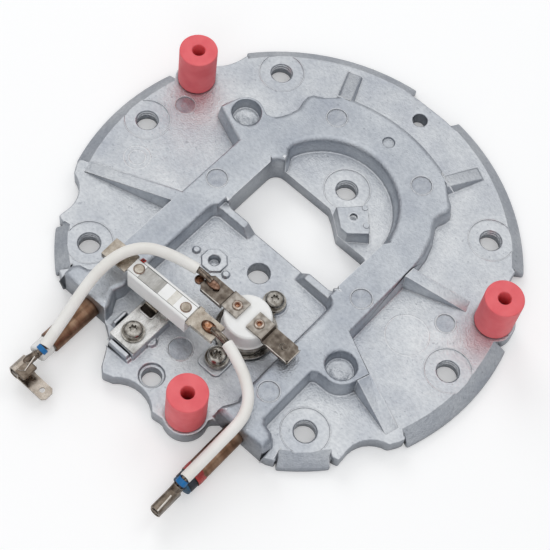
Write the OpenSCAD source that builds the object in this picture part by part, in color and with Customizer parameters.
// Boiler heating element: a round die-cast plate with a tubular heater cast into
// its ridge, a thermostat, a thermal cut-out on a spring clip, two sleeved leads
// and three silicone spacers. The origin is the centre of the bolt circle on the
// flat underside, +X points away from the terminals and +Z is up.

/* [Plate] */
// Radius of the plate over the lip of its rim
plate_r = 68.5; // [67.5:0.5:71]
// Thickness of the flange
plate_t = 5; // [4.5:0.5:6]
// Height of the heater ridge above the flange
ridge_h = 6; // [5:0.5:8]
// Width of the bevel round the rim, seen from above
rim_run = 4.3; // [3.5:0.1:5]
// Height of the upright lip under the rim bevel
rim_lip = 1.85; // [1:0.05:3]
// Distance from the rim to the circle that the flange holes lie on
bolt_inset = 10; // [9.5:0.25:10.5]
// Diameter of the flange holes
bolt_hole_d = 6.5; // [5:0.5:7]
// Diameter of the spot face round a flange hole
spot_face_d = 13.5; // [12:0.5:14]
// Depth of the spot faces
spot_face_depth = 0.3; // [0.1:0.1:1]
// Diameter of the small hole at the plate's far end
end_hole_d = 4.4; // [3:0.2:5]
// Diameter of the hole in the lobe between the terminals
lobe_hole_d = 5.6; // [4:0.2:6.5]
// Diameter of the hole in the thermostat panel
panel_hole_d = 6.4; // [5:0.2:7]
// Depth of the round marks that the ejector pins leave
eject_depth = 0.3; // [0.1:0.1:0.6]

/* [Ridge] */
// Distance from the plate's middle line to the crest of each ridge leg
leg_y = 27.7; // [27.2:0.1:28.2]
// Width of a ridge leg inside its crest
ridge_inner = 4.9; // [4.2:0.1:5.4]
// Width of a ridge leg outside its crest
ridge_outer = 4.3; // [4:0.1:4.8]
// Centre of the heater's bend along X
bend_x = 14.3; // [13.5:0.1:15]
// Radius of the round pocket inside the bend
pocket_r = 20.8; // [20:0.2:22]
// Radius of the ridge's outer arc at the far end
nose_r = 49.3; // [48.5:0.1:50]
// X of the upright wall at the ridge's terminal end
wall_x = -55; // [-56:0.5:-54]
// X of the thermostat panel's inner wall
panel_x = -8.6; // [-9.2:0.1:-8]
// Diameter of the two counterbored holes in the ridge
socket_d = 8.5; // [7:0.25:8.75]
// Depth of the counterbored holes
socket_depth = 4.5; // [2:0.5:4.5]

/* [Window] */
// Left edge of the window
window_left = -6.3; // [-6.6:0.1:-5.8]
// Right edge of the window
window_right = 15.7; // [15:0.1:16]
// Right edge of the window beside the sensor boss
window_waist = 10.3; // [9.5:0.1:10.4]
// Half the height of the window
window_y = 20.4; // [19.5:0.1:20.6]
// Height of the sensor boss above the flange
sensor_boss_h = 4.8; // [3:0.2:6]

/* [Heater] */
// Diameter of the heater sheath
sheath_d = 6.4; // [6:0.1:6.6]
// Wall of the heater sheath
sheath_wall = 0.6; // [0.4:0.1:0.8]
// Height of the heater's centre line
heater_z = 4; // [3.6:0.1:4.2]
// Diameter of the resistance coil's envelope and of the cold pins
pin_d = 2.2; // [1.8:0.1:2.4]
// Length of the upper leg outside the plate
tail_upper = 16; // [14:0.1:16.5]
// Length of the lower leg outside the plate
tail_lower = 17.3; // [15:0.1:19]
// Distance between the heater's two legs
leg_pitch = 54.9; // [54:0.1:55.8]
// Shift of the heater's bend along Y
bend_y = -0.25; // [-0.3:0.05:0.3]
// Length of the cold pins outside the plate
pin_out = 29; // [27.5:0.5:30]

/* [Thermostat] */
// Centre of the thermostat along X
stat_x = -30.9; // [-31.4:0.1:-30.4]
// Centre of the thermostat along Y
stat_y = -9.7; // [-10:0.1:-9.2]
// Distance between the thermostat's two screws
stat_pitch = 23.8; // [23.4:0.1:24.6]
// Radius of the thermostat's metal cup
cup_r = 7.9; // [7.6:0.1:8.2]
// Height of the metal cup
cup_h = 4.1; // [3.5:0.1:4.6]
// Height of the thermostat's ceramic face above the flange
stat_h = 10.4; // [9.5:0.1:11]
// Radius of the ceramic body
stat_r = 6.8; // [6.4:0.1:7]
// Height of the two cast pads under the thermostat's lugs
lug_pad_h = 0.8; // [0.4:0.1:1.2]
// Width of the thermostat's flat terminals
stat_tab_w = 6; // [5:0.1:6.4]
// Thickness of all flat terminals
tab_t = 0.8; // [0.5:0.1:1]

/* [Cut-out] */
// Centre of the thermal cut-out along X
cutout_x = -42.3; // [-42.6:0.1:-42]
// Centre of the thermal cut-out along Y
cutout_y = 11.9; // [11.4:0.1:12.4]
// Turn of the cut-out about its centre, in degrees
cutout_turn = 1.7; // [0:0.1:2]
// Length of the cut-out's ceramic body
cutout_l = 22; // [21:0.5:22.5]
// Width of the cut-out's ceramic body
cutout_w = 6.3; // [6:0.1:6.4]
// Height of the cut-out's top face above the flange
cutout_top_h = 13.5; // [13:0.1:14.5]
// Height of the cut-out's underside above the flange
cutout_bottom_h = 6; // [5.6:0.1:7]
// Distance between the cut-out's rivets
rivet_pitch = 17.1; // [16.5:0.1:17.5]
// Height of the cast pad under the clip
clip_pad_h = 2.6; // [2:0.1:3]
// Thickness of the clip's sheet
clip_t = 0.8; // [0.6:0.1:1]

/* [Spacers] */
// Diameter of the silicone spacers
spacer_d = 11.4; // [10.5:0.1:12]
// Height of the silicone spacers
spacer_h = 14.8; // [12:0.2:18]
// Diameter of the bore through a spacer
spacer_bore_d = 3.8; // [3:0.1:5]
// Height of the cast pin inside a spacer
spigot_h = 6; // [4:0.5:8]
// Distance from the rim to the circle that the spacers stand on
spacer_inset = 6.6; // [6.1:0.1:7.5]

/* [Leads] */
// Diameter of the leads' sleeves
sleeve_d = 3.3; // [3:0.1:3.3]
// Diameter of the leads' conductors
wire_d = 2; // [1.6:0.1:2.1]

/* [Hidden] */
$fn = 48;
eps = 0.01;
// Running gap round a pin in its hole
fit = 0.05;
// Gap between neighbours that only touch
seat = 0.2;
ridge_top = plate_t + ridge_h;
rim_in = plate_r - rim_run;
bolt_circle_r = plate_r - bolt_inset;
spacer_circle_r = plate_r - spacer_inset;
// Radius of the flange's outline before the rim is bevelled
rim_blank = plate_r + 2;
rim_slope = rim_run / (plate_t - rim_lip);
leg_in = leg_y - ridge_inner;
leg_out = leg_y + ridge_outer;
hole_angles = [45, 90, 135, 225, 270, 315];
// Start and end angle of each stretch of bevelled rim
rim_arcs = [[7, 53.5], [75, 110.5], [129.5, 142]];
// The bevel is cut this many degrees past each end of a stretch
rim_overcut = 0.25;
spacer_angles = [70, 193.5, 290];
lobe_r = 6.5;
socket_places = [[20.2, 37.1], [-22.3, -37]];
socket_floor_z = ridge_top - socket_depth;
socket_pilot_r = 1.2;
socket_cone_h = 1.1;
// Places and radii of the ejector marks, on the ridge and on the flange
ridge_marks = [
    [-2.9, leg_y], [-2.9, -leg_y], [37.6, 16.5], [37.6, -16.5], [-41.9, -leg_y], [-41.9, leg_y]
];
ridge_mark_r = 3;
flange_marks = [[11.8, 54, 2.9], [10.8, -48.7, 2.8], [-47.3, -0.2, 3.4]];
nose_mark = [42.1, 0];
nose_mark_r = 1.8;
ring_hole = [24.2, 0];
panel_hole = [-14.6, 0];
panel_corner_r = 2.5;
lobe_recess_d = lobe_hole_d + 1.6;
lobe_recess_depth = 1.2;
rib_top_h = 4;
sensor_hole = [16.1, -8.7];
sensor_hole_r = 1.1;
sensor_hole_depth = 4;
nub_r = 1;
nub_h = 1.1;
nubs = [[-21.8, 17.7], [-21.8, 6.3]];
probe_pad = [-20.8, 11.7];
probe_pad_r = 3.9;
probe_hole_r = 1.65;
screw_r = 1.5;
head_r = 2.75;
head_h = 1.9;
washer_r = 3.3;
washer_t = 0.6;
torx_r = 1.2;
torx_depth = 1.1;
thread_depth = 4.2;
lug_z = plate_t + lug_pad_h;
lug_r = 3.4;
stat_top = plate_t + stat_h;
cup_wall = 0.5;
disc_t = 0.3;
stat_rivet_y = 4.05;
stat_rivet_r = 1;
stat_step = 1.3;
stat_leg_upper = 16.2;
stat_leg_lower = 17;
cutout_top = plate_t + cutout_top_h;
cutout_bottom = plate_t + cutout_bottom_h;
cutout_track_w = 4.6;
cutout_cover_t = 0.5;
link_z = cutout_top - cutout_cover_t - tab_t;
cutout_rivet_r = 0.8;
cutout_head_r = 1.5;
cutout_head_t = 0.4;
cutout_shank_l = 2.5;
cover_window = [0.2, 6.4];
clip_z = plate_t + clip_pad_h;
clip_screw = [-53.9, 11.6];
clip_left = -58.6;
clip_half_w = 4.7;
jaw_half_w = 2.4;
jaw_top = plate_t + 8.4;
jaw_gap = 0.35;
saddle_w = 4.2;
saddle_half_l = jaw_half_w + 1.4;
core_r = sheath_d / 2 - sheath_wall;
upper_y = bend_y + leg_pitch / 2;
lower_y = bend_y - leg_pitch / 2;
// Length of the straight legs inside the plate, and of the cold pins in them
leg_l = bend_x - wall_x;
coil_inset = 9;
bead_r = 2.8;
bead_l = 4.8;
seal_l = 2.7;
seal_r = 3;
ring_l = 0.9;
barrel_wall = 0.4;
barrel_w = pin_d + 2 * barrel_wall + 0.2;
pin_r = pin_d / 2;
wire_r = wire_d / 2;
wire_seat_z = heater_z + pin_r + wire_r + fit;
flag_start = 24;
flag_l = 5.2;
flag_tab_w = 4.4;
flag_tab_l = 9.4;
crimp_x = -77.6;
crimp_l = 8.4;
sleeve_r = sleeve_d / 2;
cord_sides = 8;
// Points of the upper lead, from the flag terminal to the thermostat
lead_1_route = [
    [-73.9, 25.6, 8.6], [-71.8, 26.1, 9], [-68.4, 26.5, 10.3], [-64.1, 27, 12],
    [-59.9, 27.5, 14.2], [-55.8, 27.8, 16.4], [-51.6, 27.9, 18.4], [-47.4, 27.4, 20],
    [-43.8, 26.6, 20.8], [-40, 25, 21], [-36.9, 22.7, 20.4], [-34.8, 20, 19.4],
    [-33.3, 17.5, 18.3], [-32, 14.9, 17.3], [-31.1, 12.4, 16.5], [-30.4, 9.7, 16.1]
];
// Points of the lower lead, from the cut-out to the crimp terminal
lead_2_route = [
    [-41.7, -11.6, 17.4], [-42.3, -14.1, 17.2], [-43.3, -16.9, 16.8], [-44.4, -20, 16.2],
    [-45.7, -22.4, 15.5], [-47.4, -25, 14.8], [-49.6, -26.9, 14.1], [-52.8, -28.3, 13.4],
    [-56.1, -28.5, 12.6], [-59.2, -28.3, 11.6], [-62.7, -28.1, 10.6], [-66.4, -28, 9.8],
    [-70.2, -27.9, 9.2], [-74.9, -27.9, 9]
];
wire_1_start = [
    tail_point(flag_start + 4.8), tail_point(flag_start - 0.2), [-76.9, 26, 7.3], [-75.4, 25.7, 8.2]
];
wire_1_end = [[-30.2, 8, 16], [-30, 6, 15.9], [-29.9, 3.5, 15.9]];
wire_2_start = [[-41.8, -3.9, 19.2], [-41.8, -6, 19.1], [-41.7, -8.6, 18.3]];
wire_2_end = [[-77, -27.8, 7.9], [-78.6, lower_y, wire_seat_z], [-85.4, lower_y, wire_seat_z]];
band_r = 1.35;

// Point over the upper leg, d beyond the wall, where the lead's wire lies
function tail_point(d) = [wall_x - d, upper_y, wire_seat_z];

// Points along an arc from angle a0 to angle a1
function arc(c, r, a0, a1, n = 6) =
    [for (i = [0:n]) let (a = a0 + (a1 - a0) * i / max(n, 1)) c + r * [cos(a), sin(a)]];

// The same points mirrored in the X axis, in the opposite order
function mirrored(pts) = [for (i = [len(pts) - 1:-1:0]) [pts[i].x, -pts[i].y]];

// A stretch of rim from angle a0 to a1 that the bevel is later cut from, reached
// from and left to radius r0 and r1
function rim_stretch(a0, a1, r0, r1) =
    concat(arc([0, 0], r0, a0, a0, 0), arc([0, 0], rim_blank, a0, a1, 5), arc([0, 0], r1, a1, a1, 0));

// Flange outline above the X axis, from the far end to the terminal end
function rim_half() = concat(
    arc([0, 0], rim_in, 4.5, 5.5, 1),
    rim_stretch(rim_arcs[0][0], rim_arcs[0][1], rim_in, rim_in + 1),
    arc([39.2, 69.2], 16.1, -93.6, -133, 6),
    arc([0, 0], rim_in, 66, 73, 2),
    rim_stretch(rim_arcs[1][0], rim_arcs[1][1], rim_in, rim_in + 2),
    [[-24.2, 62.9], [-25.8, 62.3]],
    arc([-37.4, 62.6], 9.2, -12, -88, 7),
    [[-41.4, 53.7]],
    rim_stretch(rim_arcs[2][0], rim_arcs[2][1], rim_in + 2, rim_in + 2),
    [[-53.6, 41.2], [wall_x + 0.3, 39], [wall_x, 37.2]]
);

// Lobe between the terminals, from its upper root to its lower root
function lobe_outline() = concat(
    [[wall_x, 21.6], [-56.6, 19], [-59.4, 15.4], [-66.2, 11.7], [-67.5, 10.2]],
    arc([-73, -0.2], 9.9, 48, -48, 8),
    [[-65.8, -11], [-62, -18.5], [-57.6, -20.2], [-56.4, -21], [wall_x, -22.4]]
);

// Outer contour of the ridge's upper far quarter, starting at the upper pocket
function ridge_upper() = concat(
    [[11.2, leg_out], [16.1, 43.9], [18.9, 43.1]],
    arc(socket_places[0], 5.1, 68, -24, 6),
    [[23.7, 32.6], [24.4, 30.5], [26.6, 28.9], [29.2, 27.8], [32.2, 27]],
    [[35.4, 27.8], [37.4, 27.9], [39, 27.1], [40.9, 23.8]],
    arc([0, 0], nose_r, 24, 0, 8)
);

// Outer contour of the ridge's lower far quarter, ending at the lower pocket
function ridge_lower() = concat(
    arc([0, 0], nose_r, -3, -24, 7),
    [[40.9, -24], [38.9, -26.8], [37.6, -27.6], [36, -27.5], [33.6, -26.6], [31.9, -26.6], [29.7, -27.8],
     [26.5, -29.7], [21.5, -31.3], [15, -leg_out], [11.2, -leg_out]]
);

function ridge_outline() = concat(
    ridge_upper(),
    ridge_lower(),
    [[-13, -leg_out], [-18.8, -44.2]],
    arc(socket_places[1], 5.7, 250, 172, 6),
    [[-28.1, -33.6], [-29.2, -leg_out], [-48, -leg_out], [-49.4, -33.4], [-50.1, -36], [-51.6, -37.4],
     [wall_x, -37.5], [wall_x, 37.5], [-51.6, 37.4], [-50.1, 36], [-49.4, 33.4], [-48, leg_out]]
);

function panel_half() = concat(
    arc([panel_x - panel_corner_r, leg_in - panel_corner_r], panel_corner_r, 0, 90, 5),
    [[-46.5, leg_in], [-49.2, 23.8], [-51, 22.8], [-53.3, 21.4], [wall_x - 2, 21]]
);

function panel_outline() = concat(panel_half(), mirrored(panel_half()));

// Round pocket inside the bend, joined to the space over the window
function pocket_outline() = concat(
    arc([window_left + 2, -window_y + 2], 2, 180, 270, 4),
    arc([bend_x, 0], pocket_r, -90, 70, 24),
    [[19.5, 19.5], [18, 18.2], [16.3, 17.4], [14.5, 17.5], [13, 18.4], [12, 19.8], [10.4, window_y]],
    arc([window_left + 2, window_y - 2], 2, 90, 180, 4)
);

function window_outline() = concat(
    arc([window_left + 2, -window_y + 2], 2, 180, 270, 4),
    arc([window_waist - 3, -window_y + 3], 3, 270, 360, 5),
    [[window_waist, -8.2], [window_right - 1.7, -3.4], [window_right, -0.6]],
    arc([window_right - 3.5, window_y - 3.5], 3.5, 0, 90, 5),
    arc([window_left + 2, window_y - 2], 2, 90, 180, 4)
);

// A rib whose top slopes from height h0 at point a to height h1 at point b
module rib(a, b, w, h0, h1) {
    run = norm(b - a);
    translate([a.x, a.y, plate_t])
        rotate([0, 0, atan2(b.y - a.y, b.x - a.x)])
            translate([0, w / 2, 0])
                rotate([90, 0, 0])
                    linear_extrude(w)
                        polygon([[-2, -1], [run, -1], [run, h1], [0, h0], [-2, h0]]);
}

module at_spacer(i) {
    rotate([0, 0, spacer_angles[i]])
        translate([spacer_circle_r, 0, 0])
            children();
}

module at_screws() {
    for (s = [-1, 1])
        translate([stat_x + s * stat_pitch / 2, stat_y, 0])
            children();
}

// What is cut off a stretch of rim to leave its lip and bevel
module rim_cut(a0, a1) {
    rotate([0, 0, a0 - rim_overcut])
        rotate_extrude(angle = a1 - a0 + 2 * rim_overcut, $fn = 180)
            polygon([[plate_r, -1], [rim_blank + 1, -1], [rim_blank + 1, plate_t + 1],
                     [rim_in - rim_slope, plate_t + 1], [plate_r, rim_lip]]);
}

module flange() {
    difference() {
        linear_extrude(plate_t)
            polygon(concat(rim_half(), lobe_outline(), mirrored(rim_half())));
        for (a = rim_arcs) {
            rim_cut(a[0], a[1]);
            rim_cut(-a[1], -a[0]);
        }
    }
    for (i = [0:2])
        at_spacer(i)
            cylinder(r = lobe_r, h = plate_t);
}

module ribs() {
    rib([-15.1, leg_out], [-24, 59.4], 4.2, ridge_h, 0.1);
    rib([-20.4, -43.2], [-24.9, -58.6], 4.2, ridge_h, 0.1);
    rib([13.1, -leg_out], [19.4, -50], 3.6, ridge_h, 0.1);
    rib(nose_r * [cos(23.5), sin(23.5)], 61.5 * [cos(23.5), sin(23.5)], 3.9, 3.6, 1);
    rib(nose_r * [cos(24), -sin(24)], 61.5 * [cos(24), -sin(24)], 3.9, 3.6, 1);
}

module sensor_boss() {
    linear_extrude(plate_t + sensor_boss_h)
        polygon([[15, -2.9], [10.6, -8.3], [10.6, -10.9], [15, -15.6], [21.7, -9.2], [17, -4.8]]);
    for (p = [[20.6, -9.2], [16.4, -13.3]])
        translate([p.x, p.y, plate_t])
            cylinder(r = 0.9, h = sensor_boss_h + 0.4);
}

// Raised bed that the clip is screwed to, with its two locating lips
module clip_bed() {
    translate([clip_left - 0.2, clip_screw.y - clip_half_w, 2])
        cube([14.4, 2 * clip_half_w - 0.5, clip_z - 2]);
    translate([clip_left - 2, clip_screw.y - 3.7, 2])
        cube([1.3, 6.8, clip_z - 1.8]);
    translate([clip_left - 2, clip_screw.y - clip_half_w + 0.4, 2])
        cube([3, 2 * clip_half_w - 1.6, plate_t - 1.1]);
    translate([-55.3, clip_screw.y + clip_half_w + 0.8, 2])
        cube([4.8, 1.1, clip_z - 1.9]);
    translate([-51.6, clip_screw.y - clip_half_w, 2])
        cylinder(r = 1.5, h = plate_t - 0.8);
}

module panel_bosses() {
    for (p = nubs)
        translate([p.x, p.y, 0])
            cylinder(r = nub_r, h = plate_t + nub_h);
    translate([probe_pad.x, probe_pad.y, 0])
        rotate([0, 0, 22.5])
            cylinder(r = probe_pad_r, h = plate_t + lug_pad_h, $fn = 8);
    at_screws()
        cylinder(r = lug_r, h = lug_z);
}

module socket_hole() {
    translate([0, 0, socket_floor_z])
        cylinder(d = socket_d, h = socket_depth + 1);
    translate([0, 0, socket_floor_z - socket_cone_h])
        cylinder(r1 = socket_pilot_r, r2 = socket_d / 2 - 0.6, h = socket_cone_h + eps);
}

// The heater's path as a solid of radius r, with its two legs' ends at given
// distances beyond the plate's wall
module heater_path(r, upper, lower) {
    translate([bend_x, bend_y, heater_z])
        rotate([0, 0, -90])
            rotate_extrude(angle = 180, $fn = 96)
                translate([leg_pitch / 2, 0])
                    circle(r = r, $fn = 32);
    at_upper_end(upper)
        cylinder(r = r, h = leg_l + upper, $fn = 32);
    at_lower_end(lower)
        cylinder(r = r, h = leg_l + lower, $fn = 32);
}

// Moves its children to a leg, d beyond the wall, with +Z back along the leg
module at_upper_end(d) {
    translate([bend_x - leg_l - d, upper_y, heater_z])
        rotate([0, 90, 0])
            children();
}

module at_lower_end(d) {
    translate([bend_x - leg_l - d, lower_y, heater_z])
        rotate([0, 90, 0])
            children();
}

module plate_casting() {
    color("#c3c7cd")
        difference() {
            union() {
                flange();
                difference() {
                    linear_extrude(ridge_top)
                        polygon(ridge_outline());
                    translate([0, 0, plate_t])
                        linear_extrude(ridge_h + 1)
                            polygon(panel_outline());
                    translate([0, 0, plate_t])
                        linear_extrude(ridge_h + 1)
                            polygon(pocket_outline());
                }
                ribs();
                sensor_boss();
                clip_bed();
                panel_bosses();
                for (i = [0:2])
                    at_spacer(i)
                        cylinder(d = spacer_bore_d - 2 * fit, h = plate_t + spigot_h);
            }
            translate([0, 0, -1])
                linear_extrude(ridge_top + 2)
                    polygon(window_outline());
            // The cross rib is low in its middle and slopes up to the ridge
            translate([panel_x - 0.4, 0, plate_t])
                rotate([90, 0, 90])
                    linear_extrude(window_left - panel_x + 0.8)
                        polygon([[-8.6, 0], [9.2, 0], [11.9, rib_top_h], [window_y + 1, rib_top_h],
                                 [window_y + 1, ridge_h + 1], [-window_y, ridge_h + 1],
                                 [-window_y, rib_top_h], [-11.3, rib_top_h]]);
            for (a = hole_angles)
                rotate([0, 0, a])
                    translate([bolt_circle_r, 0, 0])
                        flange_hole();
            translate([ring_hole.x, ring_hole.y, 0])
                flange_hole();
            translate([bolt_circle_r, 0, -1])
                cylinder(d = end_hole_d, h = plate_t + 2);
            translate([-bolt_circle_r, 0, -1])
                cylinder(d = lobe_hole_d, h = plate_t + 2);
            translate([-bolt_circle_r, 0, plate_t - lobe_recess_depth])
                cylinder(d = lobe_recess_d, h = lobe_recess_depth + 1);
            translate([panel_hole.x, panel_hole.y, -1])
                cylinder(d = panel_hole_d, h = plate_t + 2);
            translate([sensor_hole.x, sensor_hole.y, plate_t + sensor_boss_h - sensor_hole_depth])
                cylinder(r = sensor_hole_r, h = sensor_hole_depth + 1);
            translate([probe_pad.x, probe_pad.y, plate_t - 2])
                cylinder(r = probe_hole_r, h = 4);
            for (p = socket_places)
                translate([p.x, p.y, 0])
                    socket_hole();
            for (p = ridge_marks)
                translate([p.x, p.y, ridge_top - eject_depth])
                    cylinder(r = ridge_mark_r, h = 1);
            for (p = flange_marks)
                translate([p[0], p[1], plate_t - eject_depth])
                    cylinder(r = p[2], h = 1);
            translate([nose_mark.x, nose_mark.y, ridge_top - eject_depth])
                cylinder(r = nose_mark_r, h = 1);
            at_screws()
                translate([0, 0, lug_z - thread_depth])
                    cylinder(r = screw_r + fit, h = thread_depth + 1);
            translate([clip_screw.x, clip_screw.y, clip_z - thread_depth - 1])
                cylinder(r = screw_r + fit, h = thread_depth + 2);
            translate([-50.4, clip_screw.y - jaw_half_w, plate_t])
                cube([4.6, 2 * jaw_half_w, clip_pad_h + 1]);
            heater_path(sheath_d / 2, 3, 3);
        }
}

module flange_hole() {
    translate([0, 0, -1])
        cylinder(d = bolt_hole_d, h = plate_t + 2);
    translate([0, 0, plate_t - spot_face_depth])
        cylinder(d = spot_face_d, h = spot_face_depth + 0.6);
}

module heater_sheath() {
    color("#7a5236")
        difference() {
            heater_path(sheath_d / 2, tail_upper, tail_lower);
            heater_path(core_r, tail_upper + 1, tail_lower + 1);
        }
}

module heater_filling() {
    color("white")
        difference() {
            heater_path(core_r, tail_upper, tail_lower);
            heater_path(pin_r, tail_upper + 1, tail_lower + 1);
        }
}

module heater_coil() {
    color("dimgray")
        heater_path(pin_r, -coil_inset, -coil_inset);
}

module cold_pins() {
    color("silver") {
        at_upper_end(pin_out)
            cylinder(r = pin_r, h = pin_out + coil_inset, $fn = 32);
        at_lower_end(pin_out)
            cylinder(r = pin_r, h = pin_out + coil_inset, $fn = 32);
    }
}

// A collar of length l round a cold pin
module collar(l, r) {
    difference() {
        cylinder(r = r, h = l);
        translate([0, 0, -1])
            cylinder(r = pin_r, h = l + 2, $fn = 32);
    }
}

module end_bead_upper() {
    color("#f2f2f0") at_upper_end(tail_upper + bead_l) collar(bead_l, bead_r);
}

module end_seal_lower() {
    color("#1c1f2a") at_lower_end(tail_lower + seal_l) collar(seal_l, seal_r);
}

module seal_ring_lower() {
    color("#2b6d93") at_lower_end(tail_lower + seal_l + ring_l) collar(ring_l, seal_r - 0.1);
}

// Upright oval of width w whose ends are centred at heights z0 and z1
module oval(z0, z1, w, l) {
    for (z = [z0, z1])
        translate([0, 0, z])
            rotate([0, -90, 0])
                cylinder(d = w, h = l, $fn = 32);
    translate([-l, -w / 2, z0])
        cube([l, w, z1 - z0]);
}

// Folded barrel that clamps a cold pin with the lead's wire on top of it
module barrel(l) {
    difference() {
        oval(heater_z, wire_seat_z, barrel_w, l);
        translate([1, 0, 0])
            oval(heater_z, wire_seat_z, barrel_w - 2 * barrel_wall, l + 2);
    }
}

module at_flag() {
    translate([wall_x - flag_start, upper_y, 0])
        children();
}

module flag_terminal() {
    color("#b9aa9b") {
        at_flag()
            barrel(flag_l);
        at_flag()
            translate([0.2 - flag_l, -barrel_w / 2 - flag_tab_l, heater_z - barrel_w / 2])
                difference() {
                    linear_extrude(tab_t)
                        polygon([[0.9, 0], [flag_tab_w - 0.9, 0], [flag_tab_w, 0.9],
                                 [flag_tab_w, flag_tab_l - 2.2], [flag_l - 0.4, flag_tab_l],
                                 [flag_l - 0.4, flag_tab_l + barrel_w / 2],
                                 [0, flag_tab_l + barrel_w / 2], [0, 0.9]]);
                    translate([flag_tab_w / 2, 2.6, -1])
                        cylinder(r = 0.8, h = 3);
                }
    }
}

module crimp_terminal() {
    color("#a99f96")
        translate([crimp_x, lower_y, 0])
            barrel(crimp_l);
}

// Unit vector along a route at its point i
function heading(pts, i) =
    let (d = pts[min(i + 1, len(pts) - 1)] - pts[max(i - 1, 0)]) d / norm(d);

function ring_points(p, t, r) =
    let (side = cross(t, [0, 0, 1]) / norm(cross(t, [0, 0, 1])), up = cross(side, t))
    [for (k = [0:cord_sides - 1])
        let (a = k * 360 / cord_sides) p + r * (cos(a) * side + sin(a) * up)];

// Tube of radius r along a route
module sweep(pts, r) {
    n = len(pts);
    m = cord_sides;
    polyhedron(
        points = [for (i = [0:n - 1]) each ring_points(pts[i], heading(pts, i), r)],
        faces = concat(
            [[for (k = [m - 1:-1:0]) k]],
            [for (i = [0:n - 2], k = [0:m - 1])
                [i * m + k, i * m + (k + 1) % m, (i + 1) * m + (k + 1) % m, (i + 1) * m + k]],
            [[for (k = [0:m - 1]) (n - 1) * m + k]]
        )
    );
}

// A route with its two ends moved outwards by a length
function lengthened(pts, d) = concat(
    [pts[0] - d * heading(pts, 0)],
    [for (i = [1:len(pts) - 2]) pts[i]],
    [pts[len(pts) - 1] + d * heading(pts, len(pts) - 1)]
);

module sleeve(route) {
    color("#f4f3ef")
        difference() {
            sweep(route, sleeve_r);
            sweep(lengthened(route, 0.5), wire_r + fit);
        }
}

module lead_wire_1() {
    color("#9a938c") sweep(concat(wire_1_start, lead_1_route, wire_1_end), wire_r);
}

module lead_wire_2() {
    color("#9a938c") sweep(concat(wire_2_start, lead_2_route, wire_2_end), wire_r);
}

module lead_sleeve_1() {
    sleeve(lead_1_route);
}

module lead_sleeve_2() {
    sleeve(lead_2_route);
}

module band(a, b) {
    difference() {
        sweep([a, b], band_r);
        sweep([a - 0.5 * (b - a), b + 0.5 * (b - a)], wire_r + fit);
    }
}

module lead_band_1() {
    color("#1673ad") band(wire_1_start[3], lead_1_route[0]);
}

module lead_band_2() {
    color("#1673ad") band(lead_2_route[len(lead_2_route) - 1], wire_2_end[0]);
}

module thermostat_cup() {
    color("#b8b2aa")
        translate([stat_x, stat_y, plate_t])
            difference() {
                cylinder(r = cup_r, h = cup_h);
                translate([0, 0, cup_wall])
                    cylinder(r = cup_r - cup_wall, h = cup_h);
                for (a = [20, 65, 200, 245, 290, 335])
                    rotate([0, 0, a])
                        translate([cup_r - 1, -0.9, 1.9])
                            cube([2, 1.8, 1.1]);
            }
}

module thermostat_flange() {
    color("#b3aca4")
        translate([0, 0, lug_z])
            difference() {
                union() {
                    translate([stat_x, stat_y, 0])
                        cylinder(r = cup_r + 1.1, h = tab_t);
                    translate([stat_x - stat_pitch / 2, stat_y - 2.6, 0])
                        cube([stat_pitch, 5.2, tab_t]);
                    at_screws()
                        cylinder(r = lug_r, h = tab_t);
                }
                translate([stat_x, stat_y, -1])
                    cylinder(r = cup_r + fit, h = tab_t + 2);
                at_screws()
                    translate([0, 0, -1])
                        cylinder(r = screw_r + 0.2, h = tab_t + 2);
            }
}

module thermostat_body() {
    skirt_r = cup_r - cup_wall - fit;
    skirt_z = cup_wall + disc_t + 0.9;
    color("#f5f5f5")
        difference() {
            translate([stat_x, stat_y, plate_t])
                rotate_extrude()
                    polygon([[0, skirt_z], [skirt_r, skirt_z], [skirt_r, cup_h], [stat_r, cup_h],
                             [stat_r, stat_h - 0.5], [stat_r - 0.5, stat_h], [0, stat_h]]);
            translate([stat_x, stat_y, plate_t])
                cylinder(r = 1.05, h = 4);
            for (s = [-1, 1])
                translate([stat_x, stat_y + s * stat_rivet_y, stat_top - 4])
                    cylinder(r = stat_rivet_r + fit, h = 5);
        }
}

module bimetal_disc() {
    color("#c9b089")
        translate([stat_x, stat_y, plate_t + cup_wall])
            cylinder(r = cup_r - cup_wall - 0.6, h = disc_t);
}

module push_pin() {
    color("#efeae2")
        translate([stat_x, stat_y, plate_t + cup_wall + disc_t])
            cylinder(r = 1, h = 3);
}

// Flat terminal that steps down beside the ceramic and ends in cut corners
module stat_tab(l) {
    run = stat_rivet_y + 2.95;
    difference() {
        translate([-stat_tab_w / 2, 0, 0])
            rotate([90, 0, 90])
                linear_extrude(stat_tab_w)
                    polygon([[stat_rivet_y - 2.3, 0], [run, 0], [run + 0.5, -stat_step], [l, -stat_step],
                             [l, tab_t - stat_step], [run + 0.9, tab_t - stat_step], [run + 0.4, tab_t],
                             [stat_rivet_y - 2.3, tab_t]]);
        translate([0, stat_rivet_y, -1])
            cylinder(r = stat_rivet_r + fit, h = 3);
        for (s = [-1, 1])
            translate([s * stat_tab_w / 2, l, -3])
                rotate([0, 0, 45])
                    cube([1.7, 1.7, 8], center = true);
        translate([0, l - 4.2, tab_t - stat_step - 0.25])
            cylinder(r = 0.9, h = 1);
    }
}

module thermostat_tab_upper() {
    color("#8d8177")
        translate([stat_x, stat_y, stat_top])
            stat_tab(stat_leg_upper);
}

module thermostat_tab_lower() {
    color("#8d8177")
        translate([stat_x, stat_y, stat_top])
            rotate([0, 0, 180])
                stat_tab(stat_leg_lower);
}

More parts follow.
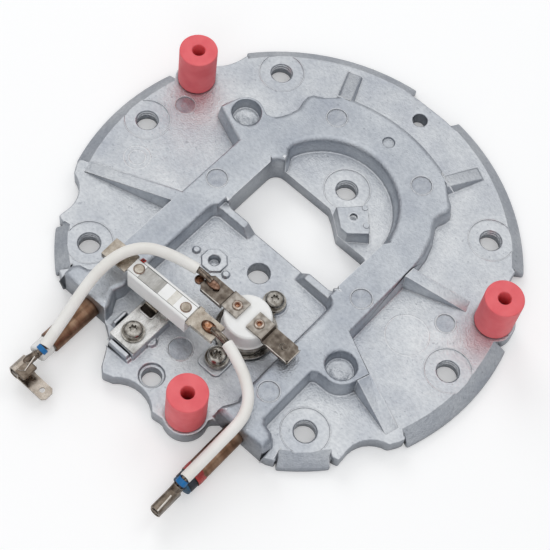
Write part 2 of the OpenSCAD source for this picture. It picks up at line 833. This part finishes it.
module thermostat_rivets() {
    color("#b98a6c")
        for (s = [-1, 1])
            translate([stat_x, stat_y + s * stat_rivet_y, stat_top])
                difference() {
                    union() {
                        translate([0, 0, tab_t])
                            cylinder(r = 1.5, h = 0.45);
                        translate([0, 0, -3.6])
                            cylinder(r = stat_rivet_r, h = 3.6 + tab_t);
                    }
                    translate([0, 0, -2])
                        cylinder(r = 0.65, h = 5);
                }
}

// Pan-head screw with a washer, standing on the plane z = 0
module screw(depth) {
    difference() {
        union() {
            cylinder(r = washer_r, h = washer_t);
            translate([0, 0, washer_t])
                rotate_extrude()
                    polygon(concat([[0, 0], [head_r, 0], [head_r, head_h * 0.4]],
                                   arc([head_r - 1.1, head_h * 0.4], 1.1, 10, 90, 3), [[0, head_h]]));
            translate([0, 0, -depth])
                cylinder(r = screw_r, h = depth + eps);
        }
        translate([0, 0, washer_t + head_h - torx_depth]) {
            cylinder(r = torx_r * 0.72, h = 2, $fn = 24);
            for (a = [0:60:300])
                rotate([0, 0, a])
                    translate([torx_r * 0.75, 0, 0])
                        cylinder(r = torx_r * 0.25, h = 2, $fn = 16);
        }
    }
}

module thermostat_screws() {
    color("#a8a29a")
        at_screws()
            translate([0, 0, lug_z + tab_t])
                screw(thread_depth);
}

module at_cutout() {
    translate([cutout_x, cutout_y, 0])
        rotate([0, 0, cutout_turn])
            children();
}

// A bar along the cut-out's length with square ends
module cutout_bar(y0, y1, w, z0, z1) {
    translate([-w / 2, y0, z0])
        cube([w, y1 - y0, z1 - z0]);
}

module cutout_body() {
    color("#f3f2ee")
        at_cutout()
            difference() {
                union() {
                    translate([0, cutout_l / 2, 0])
                        rotate([90, 0, 0])
                            linear_extrude(cutout_l)
                                polygon(concat(
                                    [[-cutout_w / 2, cutout_bottom], [cutout_w / 2, cutout_bottom]],
                                    arc([cutout_w / 2 - 0.8, cutout_top - 0.8], 0.8, 0, 90, 4),
                                    arc([0.8 - cutout_w / 2, cutout_top - 0.8], 0.8, 90, 180, 4)));
                    cutout_bar(-saddle_half_l, saddle_half_l, saddle_w, clip_z + clip_t, cutout_bottom + 1);
                }
                cutout_bar(-cutout_l / 2 - 1, cutout_l / 2 + 1, cutout_track_w, link_z, cutout_top + 1);
                for (s = [-1, 1])
                    translate([0, s * rivet_pitch / 2, link_z - cutout_shank_l - 0.5])
                        cylinder(r = cutout_rivet_r + fit, h = cutout_shank_l + 1);
                for (s = [-1, 1])
                    translate([s * cutout_w / 2, cutout_l / 2, 0])
                        rotate([0, 0, 45])
                            cube([1.5, 1.5, 60], center = true);
            }
}

module cutout_cover() {
    color("#f6f4ef")
        at_cutout()
            difference() {
                cutout_bar(-cutout_l / 2, cutout_l / 2, cutout_track_w - 2 * fit,
                           link_z + tab_t, cutout_top - 0.05);
                cutout_bar(cover_window[0], cover_window[1], cutout_track_w - 1, link_z, cutout_top + 1);
                for (s = [-1, 1])
                    translate([0, s * rivet_pitch / 2, link_z])
                        cylinder(r = cutout_rivet_r + fit, h = 4);
            }
}

module cutout_link() {
    color("#b7b5b0")
        at_cutout()
            cutout_bar(-6.5, 6.5, cutout_track_w - 2 * fit, link_z, link_z + tab_t);
}

module cutout_tab_upper() {
    reach = 19.8;
    color("#bfb2a2")
        at_cutout()
            difference() {
                union() {
                    cutout_bar(6.5, cutout_l / 2 + seat, cutout_track_w - 2 * fit, link_z, link_z + tab_t);
                    cutout_bar(cutout_l / 2 + seat, reach, cutout_w, link_z, link_z + tab_t);
                    cutout_bar(reach - tab_t, reach, cutout_w, link_z - 1.6, link_z + tab_t);
                }
                translate([0, rivet_pitch / 2, link_z - 1])
                    cylinder(r = cutout_rivet_r + fit, h = 4);
            }
}

module cutout_tab_lower() {
    reach = -20.2;
    root = -cutout_l / 2 - seat;
    color("#c4b8aa")
        at_cutout()
            difference() {
                union() {
                    cutout_bar(root, -6.5, cutout_track_w - 2 * fit, link_z, link_z + tab_t);
                    cutout_bar(root - 1.5, root, cutout_w + 0.4, link_z, link_z + tab_t);
                    cutout_bar(reach, root - 1.5, 5.8, link_z, link_z + tab_t);
                    for (s = [-1, 1])
                        translate([s * (2.9 - tab_t / 2), 0, 0])
                            cutout_bar(reach, root - 1.5, tab_t, link_z - 0.9, link_z + tab_t);
                }
                translate([0, -rivet_pitch / 2, link_z - 1])
                    cylinder(r = cutout_rivet_r + fit, h = 4);
            }
}

module cutout_rivets() {
    color("#a59c92")
        at_cutout()
            for (s = [-1, 1])
                translate([0, s * rivet_pitch / 2, 0]) {
                    translate([0, 0, cutout_top - 0.05])
                        cylinder(r = cutout_head_r, h = cutout_head_t);
                    translate([0, 0, link_z - cutout_shank_l])
                        cylinder(r = cutout_rivet_r, h = cutout_top - link_z + cutout_shank_l);
                }
}

// Spring clip: a screwed base, a tongue bent up out of it and a second jaw
module cutout_clip() {
    left = cutout_x - cutout_w / 2 - jaw_gap;
    right = cutout_x + cutout_w / 2 + jaw_gap;
    y0 = clip_screw.y - clip_half_w;
    color("#b4ada4")
        difference() {
            union() {
                translate([clip_left, y0, clip_z])
                    cube([right + clip_t - clip_left, 2 * clip_half_w, clip_t]);
                translate([left - clip_t, clip_screw.y - jaw_half_w + 0.1, clip_z])
                    cube([clip_t, 2 * jaw_half_w - 0.2, jaw_top - clip_z]);
                translate([right, clip_screw.y - jaw_half_w, clip_z])
                    cube([clip_t, 2 * jaw_half_w, jaw_top - clip_z]);
            }
            translate([clip_screw.x, clip_screw.y, clip_z - 1])
                cylinder(r = screw_r + 0.2, h = 3);
            translate([left - clip_t - 4, clip_screw.y - jaw_half_w, clip_z - 1])
                cube([4, 2 * jaw_half_w, 3]);
        }
}

module clip_screw_part() {
    color("#a8a29a")
        translate([clip_screw.x, clip_screw.y, clip_z + clip_t])
            screw(thread_depth);
}

module spacer(i) {
    color("#f26b70")
        at_spacer(i)
            translate([0, 0, plate_t])
                difference() {
                    cylinder(d = spacer_d, h = spacer_h);
                    translate([0, 0, -1])
                        cylinder(d = spacer_bore_d, h = spacer_h + 2);
                }
}

plate_casting();
heater_sheath();
heater_filling();
heater_coil();
cold_pins();
end_bead_upper();
end_seal_lower();
seal_ring_lower();
flag_terminal();
crimp_terminal();
lead_wire_1();
lead_sleeve_1();
lead_band_1();
lead_wire_2();
lead_sleeve_2();
lead_band_2();
thermostat_cup();
thermostat_flange();
thermostat_body();
bimetal_disc();
push_pin();
thermostat_tab_upper();
thermostat_tab_lower();
thermostat_rivets();
thermostat_screws();
cutout_body();
cutout_cover();
cutout_link();
cutout_tab_upper();
cutout_tab_lower();
cutout_rivets();
cutout_clip();
clip_screw_part();
spacer(0);  // spacer_1
spacer(1);  // spacer_2
spacer(2);  // spacer_3
